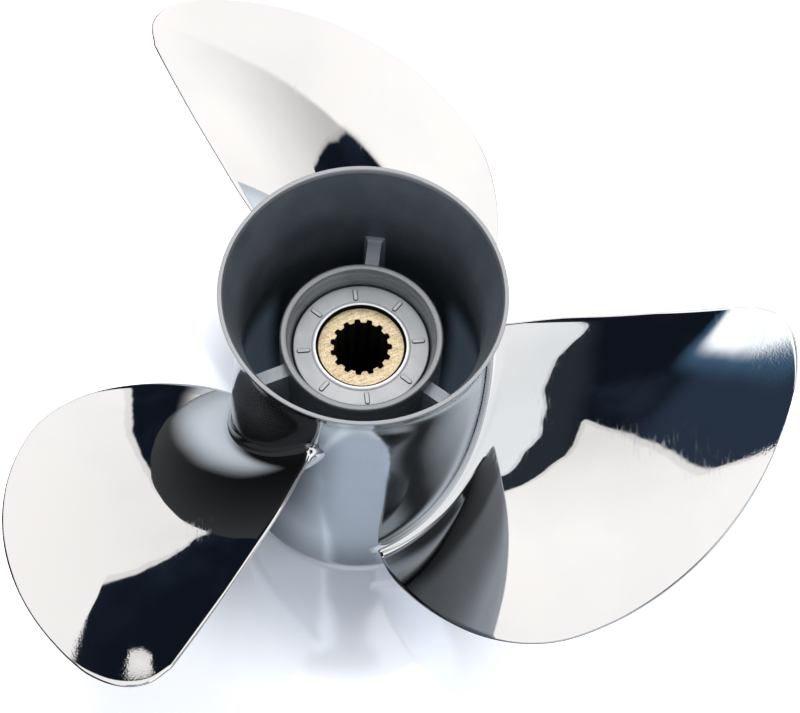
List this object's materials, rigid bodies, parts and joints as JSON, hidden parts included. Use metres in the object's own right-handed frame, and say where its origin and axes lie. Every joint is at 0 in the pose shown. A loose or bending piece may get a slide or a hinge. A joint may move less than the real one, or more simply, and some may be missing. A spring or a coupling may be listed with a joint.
{
  "type": "through-hub exhaust boat propeller",
  "caption": "Right-hand boat propeller of polished stainless steel: raked blades on a flared exhaust hub with a rubber-mounted, splined brass sleeve.",
  "frame": {"origin": "on the shaft axis at the propeller's balance point, 74.5 mm aft of the hub's front end", "axes": "+Z along the shaft axis towards the aft end, which is up as the propeller stands; +Y along the reference line of blade_1"},
  "size_m": [0.3172, 0.3179, 0.16],
  "materials": {
    "polished_steel": "mirror polished stainless steel with fine buffing marks",
    "cast_steel": "dull blasted casting skin",
    "machined_steel": "turned satin steel",
    "grey_plate": "light grey satin",
    "black_rubber": "matte moulded rubber",
    "drive_brass": "pale brushed brass"
  },
  "bodies": {
    "root": {"hub_barrel": "polished_steel", "blade_1": "polished_steel", "blade_2": "polished_steel", "blade_3": "polished_steel", "rib_1": "cast_steel", "rib_2": "cast_steel", "rib_3": "cast_steel", "inner_hub": "machined_steel", "rubber_bushing": "black_rubber", "end_plate": "grey_plate", "drive_sleeve": "drive_brass"}
  },
  "joints": []
}
